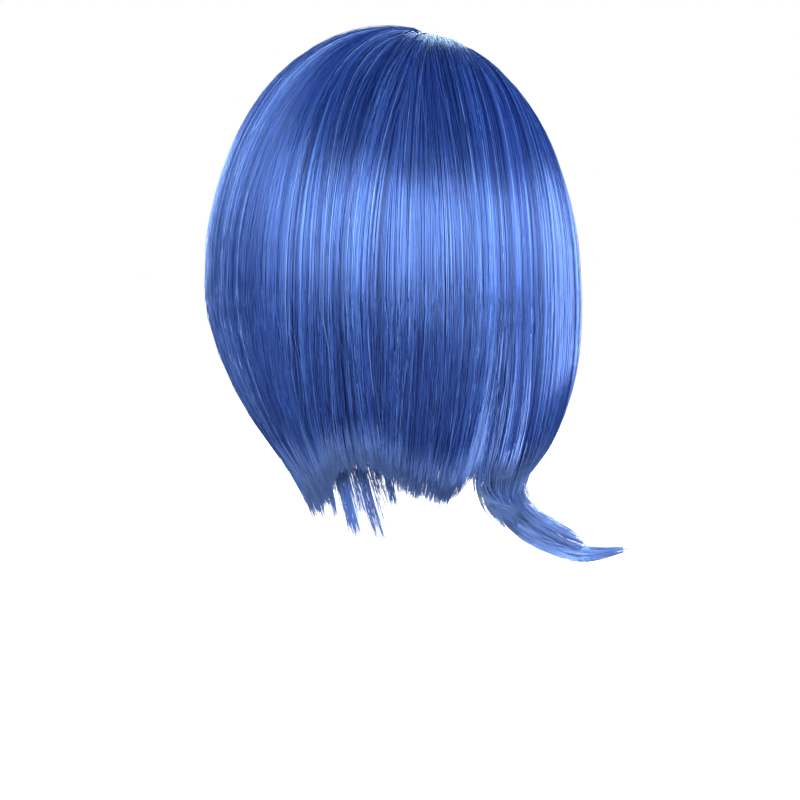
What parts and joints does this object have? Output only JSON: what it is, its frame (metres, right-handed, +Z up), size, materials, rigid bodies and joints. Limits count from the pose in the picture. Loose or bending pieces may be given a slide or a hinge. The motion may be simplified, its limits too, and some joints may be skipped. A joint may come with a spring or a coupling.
{
  "type": "costume wig",
  "caption": "Short straight bob wig on a stretch net cap, with a parting at the crown, short hair at the nape and one front lock that flips outwards.",
  "frame": {"origin": "middle of the wig's bounding box in plan, at the level of the lowest hair tip; the centre of the head-size ring is at (9.6, -9.5, 224.8) mm", "axes": "+Z up, +Y towards the back of the head, +X towards the wearer's left; the face opening looks towards -Y"},
  "size_m": [0.2752, 0.2452, 0.3598],
  "materials": {
    "hair_fibre": "glossy synthetic fibre",
    "under_fibre": "glossy synthetic fibre",
    "stretch_net": "knitted net",
    "woven_tape": "woven",
    "satin_binding": "satin",
    "elastic": "ribbed elastic",
    "soft_pile": "short pile",
    "grip_plastic": "moulded hooks",
    "skin_patch": "soft film",
    "label_cloth": "blank woven label",
    "stay_steel": "plain"
  },
  "bodies": {
    "cap": {"cap_net": "stretch_net", "skin_top": "skin_patch", "front_band": "satin_binding", "ear_band_left": "satin_binding", "ear_band_right": "satin_binding", "nape_band": "elastic", "stay_tape_left": "woven_tape", "stay_tape_centre": "woven_tape", "stay_tape_right": "woven_tape", "weft_track_01": "woven_tape", "weft_track_02": "woven_tape", "weft_track_03": "woven_tape", "weft_track_04": "woven_tape", "weft_track_05": "woven_tape", "weft_track_06": "woven_tape", "weft_track_07": "woven_tape", "weft_track_08": "woven_tape", "weft_track_09": "woven_tape", "weft_track_10": "woven_tape", "soft_pad_left": "soft_pile", "soft_pad_right": "soft_pile", "strap_pocket_left": "satin_binding", "strap_pocket_right": "satin_binding", "blank_label": "label_cloth", "crown_hair_left": "hair_fibre", "crown_hair_right": "hair_fibre", "nape_hair": "under_fibre", "under_hair_left": "under_fibre", "under_hair_right": "under_fibre"},
    "ear_tab_left": {"ear_tab_lining_left": "satin_binding", "ear_tab_stay_left": "stay_steel", "ear_tab_cover_left": "soft_pile"},
    "ear_tab_right": {"ear_tab_lining_right": "satin_binding", "ear_tab_stay_right": "stay_steel", "ear_tab_cover_right": "soft_pile"},
    "adjuster_left": {"adjuster_strap_left": "elastic", "grip_pad_left": "grip_plastic", "strap_pull_left": "satin_binding"},
    "adjuster_right": {"adjuster_strap_right": "elastic", "grip_pad_right": "grip_plastic", "strap_pull_right": "satin_binding"},
    "back_hair_left": {"back_hair_left": "hair_fibre"},
    "back_hair_right": {"back_hair_right": "hair_fibre"},
    "side_hair_left": {"side_hair_left": "hair_fibre"},
    "side_hair_right": {"side_hair_right": "hair_fibre"},
    "front_lock": {"front_lock_right": "hair_fibre"},
    "fringe": {"fringe": "hair_fibre"}
  },
  "joints": [
    {"name": "back_hair_left_lift", "type": "hinge", "parent": "cap", "child": "back_hair_left", "pos_m": [0.07868, 0.09827, 0.22444], "axis": [0.8387, -0.5446, 0], "range_deg": [0, 40]},
    {"name": "back_hair_right_lift", "type": "hinge", "parent": "cap", "child": "back_hair_right", "pos_m": [-0.04012, 0.10852, 0.22444], "axis": [0.9205, 0.3907, 0], "range_deg": [0, 40]},
    {"name": "side_hair_left_lift", "type": "hinge", "parent": "cap", "child": "side_hair_left", "pos_m": [0.13276, -0.01568, 0.22444], "axis": [-0.1219, -0.9925, 0], "range_deg": [0, 35]},
    {"name": "side_hair_right_lift", "type": "hinge", "parent": "cap", "child": "side_hair_right", "pos_m": [-0.11135, 0.02472, 0.22444], "axis": [0.225, 0.9744, 0], "range_deg": [0, 35]},
    {"name": "front_lock_lift", "type": "hinge", "parent": "cap", "child": "front_lock", "pos_m": [-0.10058, -0.05649, 0.22444], "axis": [-0.4695, 0.8829, 0], "range_deg": [0, 35]},
    {"name": "fringe_lift", "type": "hinge", "parent": "cap", "child": "fringe", "pos_m": [0.00964, -0.10351, 0.28444], "axis": [-1, 0, 0], "range_deg": [0, 40]},
    {"name": "ear_tab_left_bend", "type": "hinge", "parent": "cap", "child": "ear_tab_left", "pos_m": [0.08313, -0.03568, 0.22924], "axis": [-0.2181, -0.9759, 0], "range_deg": [-15, 15]},
    {"name": "ear_tab_right_bend", "type": "hinge", "parent": "cap", "child": "ear_tab_right", "pos_m": [-0.06385, -0.03568, 0.22924], "axis": [-0.2181, 0.9759, 0], "range_deg": [-15, 15]},
    {"name": "adjuster_left_slide", "type": "hinge", "parent": "cap", "child": "adjuster_left", "pos_m": [0.00964, 0.01051, 0.14984], "axis": [0, 0, 1], "range_deg": [-3, 9]},
    {"name": "adjuster_right_slide", "type": "hinge", "parent": "cap", "child": "adjuster_right", "pos_m": [0.00964, 0.01051, 0.14984], "axis": [0, 0, -1], "range_deg": [-3, 9]}
  ]
}
